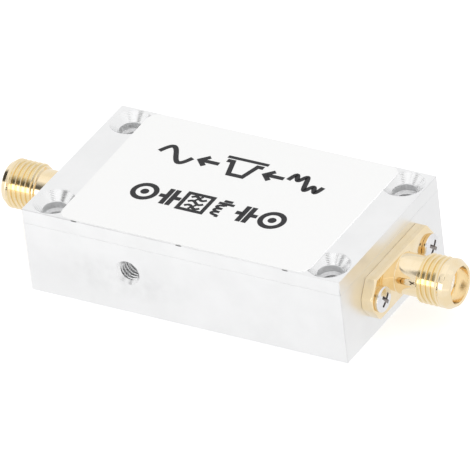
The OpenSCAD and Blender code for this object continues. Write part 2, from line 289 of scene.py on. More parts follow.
def bevelled(mesh, width, segments, angle):
    """The mesh with a rounded bevel on every edge sharper than the angle."""
    target = object_of("bevelling", mesh)
    bevel = target.modifiers.new("bevel", "BEVEL")
    bevel.width = width * MM
    bevel.segments = segments
    bevel.limit_method = "ANGLE"
    bevel.angle_limit = math.radians(angle)
    bevel.harden_normals = False
    return baked(target)


def joined(name, meshes):
    """One mesh out of several."""
    shape = bmesh.new()
    for mesh in meshes:
        shape.from_mesh(mesh)
    made = bpy.data.meshes.new(name)
    shape.to_mesh(made)
    shape.free()
    return made


def moved(mesh, matrix):
    """The mesh itself, moved."""
    mesh.transform(matrix)
    return mesh


def piece(name, mesh, materials, slot, *nodes):
    """A shown piece that rides on the box and stands for the CAD nodes named."""
    made = object_of(name, mesh)
    which = [face.material_index for face in mesh.polygons]
    mesh.materials.clear()
    for material in materials:
        mesh.materials.append(material)
    for face, index in zip(mesh.polygons, which):
        face.material_index = min(index, len(materials) - 1)
    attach(made, "root")
    if nodes:
        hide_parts(*nodes)


def turns_to(most, steps):
    """Angles from 0 to the most, in equal steps."""
    return [most * k / steps for k in range(steps + 1)]


def circle(x, y, radius, steps=32):
    """Points round a circle."""
    turns = [2 * math.pi * k / steps for k in range(steps)]
    return [(x + radius * math.cos(t), y + radius * math.sin(t)) for t in turns]


def ring_faces(rings, count):
    """Faces that join rings of points one after another, with the same count of points in each."""
    faces = []
    for ring in range(rings - 1):
        low, high = ring * count, (ring + 1) * count
        for i in range(count):
            n = (i + 1) % count
            faces.append((low + i, low + n, high + n, high + i))
    return faces


def lathe(outline, around):
    """Points and faces of an outline of (along, radius) turned about X."""
    points = []
    for along, radius in outline:
        points += [(along, y, z) for y, z in circle(0, 0, radius, around)]
    return points, ring_faces(len(outline), around)


def helix_band(start, end, pitch, phase, steps, envelope, around):
    """A right-handed thread about X as points and faces, closed to plain circles at both ends.

    steps is one pitch of the thread's outline, as (share of the pitch, radius), and the envelope
    gives the least and greatest radius at a distance along X. The rows of faces follow the helix.
    """
    per_pitch = len(steps)
    first = math.floor((start - phase) / pitch) - 1
    rows = (math.ceil((end - start) / pitch) + 3) * per_pitch
    column = rows + per_pitch
    points = []
    for i in range(around):
        turn = i / around
        angle = 2 * math.pi * turn
        for j in range(column):
            share, radius = steps[j % per_pitch]
            along = phase + (first + j // per_pitch + share + turn) * pitch
            along = min(max(along, start), end)
            least, most = envelope(along)
            radius = min(max(radius, least), most)
            points.append((along, radius * math.cos(angle), radius * math.sin(angle)))
    faces = []
    for i in range(around):
        here = i * column
        there, shift = (here + column, 0) if i < around - 1 else (0, per_pitch)
        for j in range(rows - 1):
            faces.append((here + j, here + j + 1, there + j + 1 + shift, there + j + shift))
    return points, faces


def join_parts(*parts):
    """Points and faces of several parts as one list each."""
    points, faces = [], []
    for more_points, more_faces in parts:
        base = len(points)
        points += more_points
        faces += [tuple(base + k for k in face) for face in more_faces]
    return points, faces


# Node trees


def add_node(tree, kind, inputs=None, **settings):
    """A node with its settings made and its inputs set or linked."""
    made = tree.nodes.new(kind)
    for key, value in settings.items():
        setattr(made, key, value)
    for key, value in (inputs or {}).items():
        socket = made.inputs[key]
        if isinstance(value, bpy.types.NodeSocket):
            tree.links.new(value, socket)
        else:
            socket.default_value = value
    return made


def calculate(tree, operation, *values):
    """The result of a maths node."""
    return add_node(tree, "ShaderNodeMath", dict(enumerate(values)), operation=operation).outputs[0]


def fade(tree, value, low, high, to_low=0.0, to_high=1.0):
    """The value carried from the range low..high to the range to_low..to_high, and held there."""
    inputs = {"Value": value, 1: low, 2: high, 3: to_low, 4: to_high}
    return add_node(tree, "ShaderNodeMapRange", inputs).outputs[0]


def varied(tree, texture, low, high):
    """The usual range of a noise texture carried to the range low..high."""
    return fade(tree, texture, *NOISE_RANGE, low, high)


def millimetres(tree, stretch=(1, 1, 1)):
    """Position on the object in millimetres, stretched along its axes."""
    place = add_node(tree, "ShaderNodeTexCoord").outputs["Object"]
    inputs = {"Vector": place, "Scale": [s / MM for s in stretch]}
    return add_node(tree, "ShaderNodeMapping", inputs).outputs[0]


def noise(tree, scale, detail=3.0, roughness=0.5, stretch=(1, 1, 1)):
    """A noise texture on the object, with the scale per millimetre."""
    place = millimetres(tree, stretch)
    inputs = {"Vector": place, "Scale": scale, "Detail": detail, "Roughness": roughness}
    return add_node(tree, "ShaderNodeTexNoise", inputs).outputs["Fac"]


def mixed(tree, factor, first, second):
    """A colour between two, each of them a socket or its red, green and blue."""
    ends = [end if isinstance(end, bpy.types.NodeSocket) else (*end, 1) for end in (first, second)]
    inputs = {0: factor, 6: ends[0], 7: ends[1]}
    return add_node(tree, "ShaderNodeMix", inputs, data_type="RGBA").outputs[2]


def clouded(tree, cloud, dark, light):
    """A colour that drifts between dark and light with the clouds of a noise texture."""
    return mixed(tree, fade(tree, cloud, *CLOUD_RANGE), dark, light)


def darkened(tree, colour, amount):
    """A colour taken towards black by an amount from 0 to 1."""
    return mixed(tree, amount, colour, BLACK)


def times(colour, share):
    """A colour with each part scaled."""
    return [c * share for c in colour]


def bump(tree, height, depth, under=None):
    """A bump whose full height is the depth in millimetres."""
    inputs = {"Height": height, "Distance": depth * MM, "Strength": 1.0}
    if under is not None:
        inputs["Normal"] = under
    return add_node(tree, "ShaderNodeBump", inputs).outputs[0]


def new_material(name, viewport):
    """An empty material and its node tree."""
    made = bpy.data.materials.new(name)
    made.use_nodes = True
    made.diffuse_color = (*viewport, 1)
    made.node_tree.nodes.clear()
    return made, made.node_tree


def finish(made, base, rough, relief, **more):
    """Ends a material in one Principled shader. Names of further inputs are written with underscores."""
    inputs = {"Base Color": base, "Roughness": rough, "Normal": relief}
    inputs.update({key.replace("_", " "): value for key, value in more.items()})
    shader = add_node(made.node_tree, "ShaderNodeBsdfPrincipled", inputs)
    add_node(made.node_tree, "ShaderNodeOutputMaterial", {"Surface": shader.outputs[0]})
    return made


def split(tree):
    """The three coordinates on the object in millimetres."""
    axes = add_node(tree, "ShaderNodeSeparateXYZ", {"Vector": millimetres(tree)}).outputs
    return axes[0], axes[1], axes[2]


def spot(tree, axes, centre, reach):
    """1 at a place on the object, fading to 0 at the reach along each axis."""
    total = None
    for axis, middle, size in zip(axes, centre, reach):
        apart = calculate(tree, "DIVIDE", calculate(tree, "SUBTRACT", axis, middle), size)
        square = calculate(tree, "MULTIPLY", apart, apart)
        total = square if total is None else calculate(tree, "ADD", total, square)
    return fade(tree, total, 0.0, 1.0, 1.0, 0.0)


def distance(tree, across, up):
    """The distance from a line, from the two offsets square to it."""
    squares = [calculate(tree, "MULTIPLY", offset, offset) for offset in (across, up)]
    return calculate(tree, "SQRT", calculate(tree, "ADD", *squares))


# Materials


def aluminium(name, colour, streaks, shade_dashes=()):
    """Satin milled aluminium: fine cutter streaks, cloudy handling marks and turned countersinks."""
    made, tree = new_material(name, colour)
    axes = split(tree)
    cloud = noise(tree, 0.16, detail=4.0, roughness=0.6)
    grain = noise(tree, 9.0, detail=2.0)
    streak = noise(tree, 5.0, stretch=streaks)
    base = mixed(tree, fade(tree, cloud, 0.38, 0.62), times(colour, 0.965), colour)
    base = darkened(tree, base, calculate(tree, "MULTIPLY", smudge(tree, axes), SMUDGE_DEPTH))
    # Painted shade: short dark dashes along the lid's front edge
    for along in shade_dashes:
        shade_dash = spot(tree, axes, (along, -BOX_SIDE, LID_TOP), EDGE_SHADE_REACH)
        deep = calculate(tree, "MINIMUM", calculate(tree, "MULTIPLY", shade_dash, 2.0), 0.7)
        base = darkened(tree, base, deep)
    rough = calculate(tree, "ADD", varied(tree, cloud, 0.31, 0.38), varied(tree, streak, -0.03, 0.03))
    relief = bump(tree, streak, STREAK_DEPTH)
    relief = bump(tree, grain, GRAIN_DEPTH, relief)
    rings, rougher = turning_marks(tree, axes)
    rough = calculate(tree, "ADD", rough, rougher)
    relief = bump(tree, rings, CUTTER_RING_DEPTH, relief)
    return finish(made, base, rough, relief, Metallic=1.0)


def smudge(tree, axes):
    """1 in the patches of the smudge on the front wall."""
    near = spot(tree, axes, SMUDGE_PLACE, SMUDGE_REACH)
    patches = fade(tree, noise(tree, 0.6, detail=5.0), *CLOUD_RANGE)
    return calculate(tree, "MULTIPLY", near, patches)


def turning_marks(tree, axes):
    """Rings left by the cutter in the lid's countersinks, and what is added to the roughness there."""
    offsets = []
    for axis, middle in zip(axes[:2], CORNER):
        offsets.append(calculate(tree, "SUBTRACT", calculate(tree, "ABSOLUTE", axis), middle))
    radius = distance(tree, *offsets)
    rings = calculate(tree, "SINE", calculate(tree, "MULTIPLY", radius, CUTTER_RING_RATE))
    inside = fade(tree, radius, COUNTERSINK_R, COUNTERSINK_R + 0.15, 1.0, 0.0)
    drilled = fade(tree, radius, LID_HOLE_R, LID_HOLE_R + 0.06, 0.45, 0.0)
    rougher = calculate(tree, "SUBTRACT", drilled, calculate(tree, "MULTIPLY", inside, 0.12))
    return calculate(tree, "MULTIPLY", rings, inside), rougher


def gold_plating(name, bore_r):
    """Bright gold over turned brass: fine rings round the barrel, and duller inside the bore. Painted
    reflection and shade: a deeper orange in the bore, a deeper yellow in the thread roots.
    """
    made, tree = new_material(name, GOLD)
    x, y, z = split(tree)
    from_axis = distance(tree, y, calculate(tree, "SUBTRACT", z, PORT_Z))
    inside = fade(tree, from_axis, bore_r, bore_r + 0.03, 1.0, 0.0)
    cloud = noise(tree, 0.45)
    grain = noise(tree, 14.0, detail=2.0)
    rings = noise(tree, 7.0, stretch=(1.0, 0.04, 0.04))
    base = clouded(tree, cloud, GOLD_DEEP, GOLD)
    # Painted shade in the thread roots
    base = mixed(tree, painted_root_shade(tree, x, from_axis), base, GOLD_ROOT_SHADE)
    # Painted reflection: deeper orange inside the bore
    base = mixed(tree, inside, base, GOLD_BORE_REFLECTION)
    rough = calculate(tree, "ADD", varied(tree, cloud, 0.05, 0.09), varied(tree, grain, -0.015, 0.015))
    rough = calculate(tree, "ADD", rough, calculate(tree, "MULTIPLY", inside, 0.15))
    relief = bump(tree, rings, GOLD_RING_DEPTH)
    relief = bump(tree, grain, GOLD_GRAIN_DEPTH, relief)
    return finish(made, base, rough, relief, Metallic=1.0)


def painted_root_shade(tree, x, from_axis):
    """The share of painted shade, a deeper yellow, in the roots of both threads."""
    along = calculate(tree, "SUBTRACT", calculate(tree, "ABSOLUTE", x), BOX_END)
    low = fade(tree, from_axis, THREAD_R - 0.22, THREAD_R - 0.08, 0.8, 0.0)
    after = fade(tree, along, THREAD_START + 0.2, THREAD_START + 0.3)
    before = fade(tree, along, THREAD_END - 0.3, THREAD_END - 0.1, 1.0, 0.0)
    return calculate(tree, "MULTIPLY", low, calculate(tree, "MULTIPLY", after, before))


def mottled(name, colour, dull, cloud, grain, rough, depth, by_cloud=False, **more):
    """A surface with duller clouds and a fine grain, each a noise given by its scale and detail.

    Its roughness follows the grain through the range given, or follows the clouds.
    """
    made, tree = new_material(name, colour)
    clouds = noise(tree, *cloud)
    grains = noise(tree, *grain)
    base = clouded(tree, clouds, dull, colour)
    rough = varied(tree, clouds if by_cloud else grains, *rough)
    return finish(made, base, rough, bump(tree, grains, depth), **more)


def nickel_plating(name, colour, rough):
    """Bright nickel on small screws, with faint tool marks."""
    cloud, grain = (1.2, 4.0), (18.0, 2.0)
    return mottled(name, colour, times(colour, 0.9), cloud, grain, rough, GRAIN_DEPTH, True, Metallic=1.0)


def soft_metal(name, colour, dull, rough, grain_scale, depth):
    """Copper, solder and silvered wire: bright where it was handled, dull in patches."""
    cloud, grain = (0.9, 4.0, 0.6), (grain_scale,)
    return mottled(name, colour, dull, cloud, grain, rough, depth, Metallic=1.0)


def label_film():
    """Smooth white film with a faint paper grain and slight handling gloss."""
    made, tree = new_material("label_film", LABEL_WHITE)
    fibres = noise(tree, 6.0, detail=5.0, roughness=0.65)
    cloud = noise(tree, 0.12, detail=2.0)
    base = mixed(tree, varied(tree, fibres, 0.0, 1.0), times(LABEL_WHITE, 0.985), LABEL_WHITE)
    rough = fade(tree, cloud, *CLOUD_RANGE, 0.42, 0.55)
    relief = bump(tree, fibres, FIBRE_DEPTH)
    return finish(made, base, rough, relief, Specular_IOR_Level=0.35)


def printing_ink():
    """Black ink with a fine speckle."""
    made, tree = new_material("printing_ink", INK)
    speckle = noise(tree, 16.0)
    base = mixed(tree, fade(tree, speckle, 0.3, 0.75), INK, times(INK, 1.8))
    rough = varied(tree, speckle, 0.5, 0.65)
    relief = bump(tree, speckle, INK_GRAIN_DEPTH)
    return finish(made, base, rough, relief, Specular_IOR_Level=0.3)


def circuit_board():
    """Glass-fibre board: the weave shows faintly through the green coating."""
    made, tree = new_material("circuit_board", BOARD_GREEN)
    yarns = []
    for axis in split(tree)[:2]:
        yarns.append(calculate(tree, "SINE", calculate(tree, "MULTIPLY", axis, WEAVE_RATE)))
    weave = fade(tree, calculate(tree, "MULTIPLY", *yarns), -1.0, 1.0)
    cloud = noise(tree, 0.7)
    shade_of = calculate(tree, "ADD", calculate(tree, "MULTIPLY", weave, 0.4), cloud)
    base = mixed(tree, fade(tree, shade_of, 0.3, 1.1), times(BOARD_GREEN, 0.75), BOARD_GREEN)
    rough = varied(tree, cloud, 0.28, 0.4)
    relief = bump(tree, weave, WEAVE_DEPTH)
    return finish(made, base, rough, relief)


case_metal = aluminium("satin_aluminium_case", CASE_ALUMINIUM, (0.05, 0.05, 1.0))
lid_metal = aluminium("satin_aluminium_lid", LID_ALUMINIUM, (0.05, 1.0, 1.0), LID_EDGE_SHADE)
gold = gold_plating("gold_plating", SOCKET_MOUTH_R)
contact_gold = gold_plating("contact_gold", 0.5)
nickel = nickel_plating("nickel_plating", NICKEL, (0.08, 0.16))
# The cross recesses get painted shade, and the head's edge by the flange a painted gold reflection and
# shade
recess_shade_nickel = nickel_plating("painted_recess_shade", NICKEL_RECESS_SHADE, (0.3, 0.45))
rim_reflection_nickel = nickel_plating("rim_reflection_nickel", NICKEL_RIM_REFLECTION, (0.12, 0.2))
film = label_film()
ink = printing_ink()
glow = {"Subsurface_Weight": 0.15, "Subsurface_Radius": (1.0, 1.0, 0.9), "Subsurface_Scale": 0.4 * MM}
mottles = {"cloud": (1.4,), "grain": (12.0,), "rough": (0.32, 0.45), "depth": 0.0020}
shaded = times(INSULATOR_WHITE, 0.93)
insulator_plastic = mottled("insulator_plastic", INSULATOR_WHITE, shaded, **mottles, **glow)
board_material = circuit_board()
copper = soft_metal("bright_copper", COPPER, COPPER_DULL, (0.2, 0.32), 10.0, 0.0012)
solder = soft_metal("solder", SOLDER, SOLDER_DULL, (0.18, 0.34), 5.0, 0.004)
silvered_wire = soft_metal("silvered_wire", SILVER, SILVER_DULL, (0.14, 0.24), 16.0, 0.0010)
mottles = {"cloud": (2.5,), "grain": (20.0, 2.0), "rough": (0.38, 0.5), "depth": 0.0012}
ceramic = mottled("chip_ceramic", CERAMIC, times(CERAMIC, 0.88), **mottles)


# The box


def tap_cutter(depth, around=48):
    """A solid helix that cuts the grooves of a tapped hole along +X from X = 0."""
    shaft_r = TAP_CORE_R - TAP_SLACK
    steps = [(0.0, shaft_r), (0.12, shaft_r), (0.45, TAP_MAJOR_R), (0.58, TAP_MAJOR_R), (0.92, shaft_r)]

    def envelope(along):
        run_in, run_out = (along - 0.3) * 1.2, (depth - along) * 0.8
        return shaft_r, max(shaft_r, min(TAP_MAJOR_R, shaft_r + min(run_in, run_out)))

    points, faces = helix_band(-TAP_LEAD, depth, TAP_PITCH, 0.0, steps, envelope, around)
    base = len(points)
    for place in circle(0, 0, shaft_r, around):
        points += [(-TAP_LEAD, *place), (depth, *place)]
    caps = [tuple(range(base + end, len(points), 2)) for end in (0, 1)]
    return mesh_of("tap", points, faces + caps)


def finer_edges(mesh, low_break, high_break, eased_height):
    """Brings the outer edge bevels of a milled part down to the fine breaks that are seen on it.

    The bevels up to the eased height get the look of a rounded edge, and those above stay flat.
    """
    with editing(mesh) as shape:
        bmesh.ops.remove_doubles(shape, verts=shape.verts, dist=MERGE_GAP)
        low = min(vert.co.z for vert in shape.verts) / MM
        high = max(vert.co.z for vert in shape.verts) / MM
        for vert in shape.verts:
            outer = max(abs(vert.co.x) / MM / BOX_END, abs(vert.co.y) / MM / BOX_SIDE)
            if outer >= 1 - EDGE_BREAK / BOX_SIDE - 1e-4:
                narrow_bevels(vert, low, low_break, high, high_break)
        mark_sharp(shape, low, high, eased_height)
    return mesh


def narrow_bevels(vert, low, low_break, high, high_break):
    """Moves one point of the outer bevels out to the finer break."""
    bands = [
        (0, -BOX_END, FINE_BREAK),
        (0, BOX_END, -FINE_BREAK),
        (1, -BOX_SIDE, FINE_BREAK),
        (1, BOX_SIDE, -FINE_BREAK),
        (2, low, low_break),
        (2, high, -high_break),
    ]
    on_low = vert.co.z / MM < low + EDGE_BREAK / 2
    on_high = vert.co.z / MM > high - EDGE_BREAK / 2
    for axis, wall, inward in bands:
        if abs(vert.co[axis] / MM - (wall + math.copysign(EDGE_BREAK, inward))) < 0.01:
            if axis < 2 and (on_low or on_high):
                inward = math.copysign(low_break if on_low else high_break, inward)
            vert.co[axis] = (wall + inward) * MM


def mark_sharp(shape, low, high, eased_height):
    """Smooth faces with crisp edges, apart from the bevels between two outer walls."""
    for face in shape.faces:
        face.smooth = True
    for edge in shape.edges:
        angle = edge.calc_face_angle(0.0) if len(edge.link_faces) == 2 else math.pi
        edge.smooth = angle < SHARP_ANGLE
        if angle < BEVEL_ANGLE and any(is_bevel(f, low, high, eased_height) for f in edge.link_faces):
            edge.smooth = True


def is_bevel(face, low, high, eased_height):
    """Whether a face is a bevel between two outer walls, below the eased height."""
    middle = face.calc_center_median() / MM
    walls = (
        (abs(middle.x) > BOX_END - FINE_BREAK)
        + (abs(middle.y) > BOX_SIDE - FINE_BREAK)
        + (middle.z < low + FINE_BREAK or middle.z > high - FINE_BREAK)
    )
    slanted = sorted(abs(c) for c in face.normal)[1] > 0.3
    return slanted and walls >= 2 and middle.z < eased_height


def eased(mesh):
    """Lets the large faces decide the normals along smooth edges."""
    target = object_of("easing", mesh)
    weighted = target.modifiers.new("weighted", "WEIGHTED_NORMAL")
    weighted.mode = "FACE_AREA"
    weighted.weight = 100
    weighted.keep_sharp = True
    return baked(target)


def tapped_body():
    """The milled box with real thread grooves in its side hole and its four corner posts."""
    plain = finer_edges(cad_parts["body"].data.copy(), FINE_BREAK, SEAM_BREAK, SEAM_Z)
    into_side = Matrix.Translation(SIDE_HOLE * MM) @ Matrix.Rotation(math.pi / 2, 4, "Z")
    cutters = [moved(tap_cutter(SIDE_TAP_DEPTH), into_side)]
    for i in (-1, 1):
        for j in (-1, 1):
            place = Vector((i * CORNER.x, j * CORNER.y, SEAM_Z)) * MM
            down = Matrix.Translation(place) @ Matrix.Rotation(math.pi / 2, 4, "Y")
            cutters.append(moved(tap_cutter(POST_TAP_DEPTH), down))
    cut = carved(plain, joined("taps", cutters))
    with editing(cut) as shape:
        mark_sharp(shape, 0.0, SEAM_Z, SEAM_Z + 1)
    return eased(cut)


# The connectors


def thread_steps():
    """One pitch of the thread from the middle of a groove: flat root, slanted sides, round crest."""
    root_edge = ROOT_FLAT / 2
    up = [(0.0, 0.0), (root_edge * 0.5, 0.0), (root_edge, 0.0)]
    for t in reversed(turns_to(THREAD_SLANT, 4)):
        along = THREAD_PITCH / 2 - CREST_ROUND * math.sin(t)
        up.append((along, THREAD_DEPTH - CREST_ROUND * (1 - math.cos(t))))
    low = THREAD_R - THREAD_DEPTH
    up = [(along / THREAD_PITCH, low + height) for along, height in up]
    return up + [(1 - share, radius) for share, radius in reversed(up[1:-1])]


def thread_band(side, around):
    """The turns of the thread, which begin behind the neck and run out before the nose."""
    fade_from, fade_over = RUN_OUT[side]
    stop = THREAD_END - CREST_LAND

    def envelope(along):
        climb = (along - THREAD_START) / (THREAD_FULL - THREAD_START)
        most = min(THREAD_R, NECK_R + (THREAD_R - NECK_R) * climb)
        fading = (along - fade_from) / fade_over
        least = THREAD_R - THREAD_DEPTH * (1 - min(max(fading, 0.0), 1.0))
        return min(least, most), most

    steps = thread_steps()
    return helix_band(THREAD_START, stop, THREAD_PITCH, THREAD_PHASE, steps, envelope, around)


def neck_outline():
    """The neck from inside the flange to the thread. A ring after the fillet keeps its shade flat."""
    outline = [(FLANGE_T - NECK_OVERLAP, NECK_R + NECK_FILLET)]
    for t in turns_to(math.pi / 2, 4):
        along = FLANGE_T + NECK_FILLET * (1 - math.cos(t))
        outline.append((along, NECK_R + NECK_FILLET * (1 - math.sin(t))))
    return outline + [(FLANGE_T + NECK_FILLET + NECK_HOLD, NECK_R), (THREAD_START, NECK_R)]


def nose_outline():
    """The tapered nose from the thread's end, round its tip, and in to the bore of the insulator."""
    slope = (THREAD_R - NOSE_R) / (PORT_LEN - THREAD_END)
    tip = PORT_LEN - NOSE_ROUND
    outline = [
        (THREAD_END - CREST_LAND, THREAD_R),
        (THREAD_END, THREAD_R),
        (THREAD_END + 0.04, THREAD_R - 0.01),
    ]
    for along in (THREAD_END + 0.1, THREAD_END + 0.16, tip - 0.06, tip):
        outline.append((along, THREAD_R - slope * (along - THREAD_END)))
    return outline + [
        (PORT_LEN - NOSE_LIP, NOSE_R - NOSE_LIP),
        (PORT_LEN, NOSE_R - NOSE_ROUND),
        (PORT_LEN, SOCKET_MOUTH_R),
        (PORT_LEN - SOCKET_BEVEL, SOCKET_R),
        (SOCKET_FLOOR, SOCKET_R),
        (SOCKET_FLOOR, BORE_R),
        (SOCKET_FLOOR - BORE_SHOWN, BORE_R),
    ]


def barrel_mesh(side, around=160):
    """Neck, thread, nose and socket in one turned skin, along +X from the end wall at X = 0."""
    neck = lathe(neck_outline(), around)
    nose = lathe(nose_outline(), around)
    parts = join_parts(neck, thread_band(side, around), nose)
    return shade(mesh_of("barrel", *parts), 42.0)


def flange_mesh():
    """The two-hole flange: slanted corners that run round into the flat ends, and softened edges."""
    shoulder = FLANGE_HALF_LEN - FLANGE_TAPER
    rise = FLANGE_HALF_H - FLANGE_FLAT
    bend = math.atan2(FLANGE_TAPER, rise)
    back = FLANGE_ROUND * math.tan(bend / 2)
    quarter = [(shoulder, FLANGE_HALF_H)]
    for t in reversed(turns_to(bend, 6)):
        across = FLANGE_HALF_LEN - FLANGE_ROUND * (1 - math.cos(t))
        quarter.append((across, FLANGE_FLAT - back + FLANGE_ROUND * math.sin(t)))
    half = quarter + [(y, -z) for y, z in reversed(quarter)]
    outline = half + [(-y, -z) for y, z in half]
    count = len(outline)
    points = [(x, y, z) for x in (0.0, FLANGE_T) for y, z in outline]
    faces = [tuple(range(count)), tuple(range(2 * count - 1, count - 1, -1))]
    plate = mesh_of("flange", points, faces + ring_faces(2, count))
    return shade(bevelled(plate, FLANGE_EDGE, segments=3, angle=30.0), 32.0)


def screw_outline():
    """A pan-head screw from the end of its shank, round under the head and over its crown."""
    outline = [(-SCREW_LEN, 0.0), (-SCREW_LEN, SCREW_R - SCREW_BEVEL), (-SCREW_LEN + SCREW_BEVEL, SCREW_R)]
    outline += [(0.0, SCREW_R), (0.0, HEAD_R - 0.08), (0.04, HEAD_R - 0.02), (0.1, HEAD_R)]
    inner = HEAD_R - HEAD_ROUND
    for t in turns_to(math.radians(78), 6):
        outline.append((HEAD_EDGE + HEAD_ROUND * math.sin(t), inner + HEAD_ROUND * math.cos(t)))
    shoulder, shoulder_r = outline[-1]
    for k in range(1, 7):
        share = 1 - k / 6
        outline.append((HEAD_H - (HEAD_H - shoulder) * share ** 2, shoulder_r * share))
    return outline


def screw_mesh(turn):
    """A screw along +X with its cross turned by an angle in degrees.

    The cross gets the second of the screw's materials, painted dark as shade, and the edge of the head by
    the flange the third, painted gold-brown as the reflection of the flange and its shade.
    """
    head = mesh_of("screw", *lathe(screw_outline(), 72))
    head = shade(carved(head, cross_cutter()), 32.0)
    for face in head.polygons:
        place = face.center / MM
        from_axis = math.hypot(place.y, place.z)
        # Painted shade: the faces of the cross recess
        if 0 < place.x < HEAD_H - 0.1 and from_axis < RECESS_REACH + 0.1:
            face.material_index = 1
        # Painted reflection and shade: the head's edge next to the flange
        elif place.x < HEAD_EDGE + 0.02 and from_axis > SCREW_R + 0.2:
            face.material_index = 2
    return moved(head, Matrix.Rotation(math.radians(turn), 4, "X"))


def cross_cutter():
    """The driver's cross: four arms that narrow and draw together towards a pointed bottom."""
    floor = HEAD_H - RECESS_DEPTH
    rings = [
        (HEAD_H + 0.3, RECESS_REACH + 0.12, RECESS_HALF_W + 0.04),
        (HEAD_H - 0.12, RECESS_REACH - 0.04, RECESS_HALF_W),
        (floor + 0.12, RECESS_REACH * 0.48, RECESS_HALF_W * 0.72),
        (floor, RECESS_HALF_W * 0.7, RECESS_HALF_W * 0.3),
    ]
    points = []
    for along, reach, half in rings:
        for quarter in range(4):
            turn = quarter * math.pi / 2
            for u, v in ((half, -half), (reach, -half), (reach, half)):
                across = u * math.cos(turn) - v * math.sin(turn)
                points.append((along, across, u * math.sin(turn) + v * math.cos(turn)))
    count = len(points) // len(rings)
    faces = [tuple(range(count)), tuple(range(len(points) - 1, len(points) - count - 1, -1))]
    return mesh_of("cross", points, faces + ring_faces(len(rings), count))


def connector(side, name):
    """Shell and flange screws of one connector. The left one is the right one turned about Z."""
    turn = Matrix.Identity(4) if side > 0 else Matrix.Rotation(math.pi, 4, "Z")
    place = turn @ Matrix.Translation(Vector((BOX_END, 0, PORT_Z)) * MM)
    shell = moved(joined("shell", [flange_mesh(), barrel_mesh(side)]), place)
    piece("shell_" + name, shell, [gold], "plating", "connector_shell_" + name)
    screws = []
    for across, angle in zip((-1, 1), CROSS_TURNS[side]):
        seat = Matrix.Translation(Vector((FLANGE_T, across * FLANGE_SCREW_Y, 0)) * MM)
        screws.append(moved(screw_mesh(angle), place @ seat))
    heads = joined("screws", screws)
    finishes = [nickel, recess_shade_nickel, rim_reflection_nickel]
    piece("cross_screws_" + name, heads, finishes, "screws", "flange_screws_" + name)


# The label and its print


def label_mesh():
    """The die-cut film: rounded corners, and a left edge that was cut a little askew."""
    outline = []
    for i, j, start in ((1, 1, 0), (-1, 1, 90), (-1, -1, 180), (1, -1, 270)):
        skew = LABEL_SKEW * j if i < 0 else 0.0
        for part in turns_to(90, 10):
            turn = math.radians(start + part)
            x = i * (LABEL_HALF_X - LABEL_R) + LABEL_R * math.cos(turn) + skew
            outline.append((x, j * (LABEL_HALF_Y - LABEL_R) + LABEL_R * math.sin(turn)))
    count = len(outline)
    top = LABEL_TOP - PRINT_T
    points = []
    for z, inset in ((LID_TOP, 0.0), (top - LABEL_EDGE, 0.0), (top, LABEL_EDGE)):
        for x, y in outline:
            points.append((x - math.copysign(inset, x), y - math.copysign(inset, y), z))
    faces = [tuple(range(count - 1, -1, -1)), tuple(range(2 * count, 3 * count))]
    return shade(mesh_of("label", points, faces + ring_faces(3, count)), 30.0)


def ribbon(line, width, closed=False):
    """Left and right edge points of a stroke along a line, with mitred bends."""
    count = len(line)
    pairs = []
    for i, (x, y) in enumerate(line):
        before = line[i - 1] if i or closed else None
        after = line[(i + 1) % count] if i < count - 1 or closed else None
        ways = []
        for start, end in ((before, (x, y)), ((x, y), after)):
            if start is not None and end is not None:
                run = math.dist(start, end)
                ways.append(((end[0] - start[0]) / run, (end[1] - start[1]) / run))
        across = [sum(-w[1] for w in ways), sum(w[0] for w in ways)]
        size = math.hypot(*across)
        across = [c / size for c in across]
        spread = across[0] * -ways[0][1] + across[1] * ways[0][0]
        reach = width / 2 / max(spread, 0.5)
        u, v = across[0] * reach, across[1] * reach
        pairs.append(((x + u, y + v), (x - u, y - v)))
    return pairs


def wave(x, y, width, height, steps=20, ripple=0.0):
    """One period of a sine wave centred on a point, with a wave three times as fast on top of it."""
    line = []
    for k in range(steps + 1):
        share = k / steps
        up = height / 2 * math.sin(2 * math.pi * share) + ripple * math.sin(6 * math.pi * share)
        line.append((x + width * (share - 0.5), y + up))
    return line


def strokes(width, *lines):
    """Open lines drawn with one width."""
    return [(line, width, False) for line in lines]


def port_symbol(x):
    """A coaxial port: a ring round a filled centre."""
    return [(circle(x, 0, 1.5), STROKE, True), (circle(x, 0, 0.28), 0.56, True)]


def capacitor_symbol(x):
    """Two plates and their leads."""
    return strokes(
        STROKE,
        [(x - 1.5, 0), (x - 0.4, 0)],
        [(x - 0.4, -1.7), (x - 0.4, 1.7)],
        [(x + 0.45, -1.7), (x + 0.45, 1.7)],
        [(x + 0.45, 0), (x + 1.5, 0)],
    )


def resonator_symbol(x):
    """A coil of three turns, down to ground."""
    axis = x - 0.2
    leads = strokes(
        STROKE * 0.7,
        [(axis, 1.85), (axis, 1.4)],
        [(axis, -0.6), (axis, -1.1)],
        [(axis - 1.1, -1.1), (axis + 1.1, -1.1)],
        [(axis - 0.6, -1.65), (axis + 0.6, -1.65)],
    )
    coil = []
    for middle in (1.12, 0.4, -0.32):
        turns = [math.pi * (0.5 - step / 10) for step in range(11)]
        coil.append([(axis + 0.95 * math.cos(t), middle + 0.36 * math.sin(t)) for t in turns])
    return leads + strokes(STROKE * 0.6, *coil)


def band_pass_symbol(x):
    """The square with three waves, of which the upper and lower ones are struck through."""
    side = 1.72
    apart = 0.95
    square = [(x - side, -side), (x + side, -side), (x + side, side), (x - side, side)]
    waves = [wave(x, middle, 2.2, 0.62) for middle in (-apart, 0.0, apart)]
    bars = [[(x - 0.32, middle - 0.48), (x + 0.32, middle + 0.48)] for middle in (-apart, apart)]
    return [(square, STROKE * 0.8, True), *strokes(STROKE * 0.62, *waves), *strokes(STROKE * 0.5, *bars)]


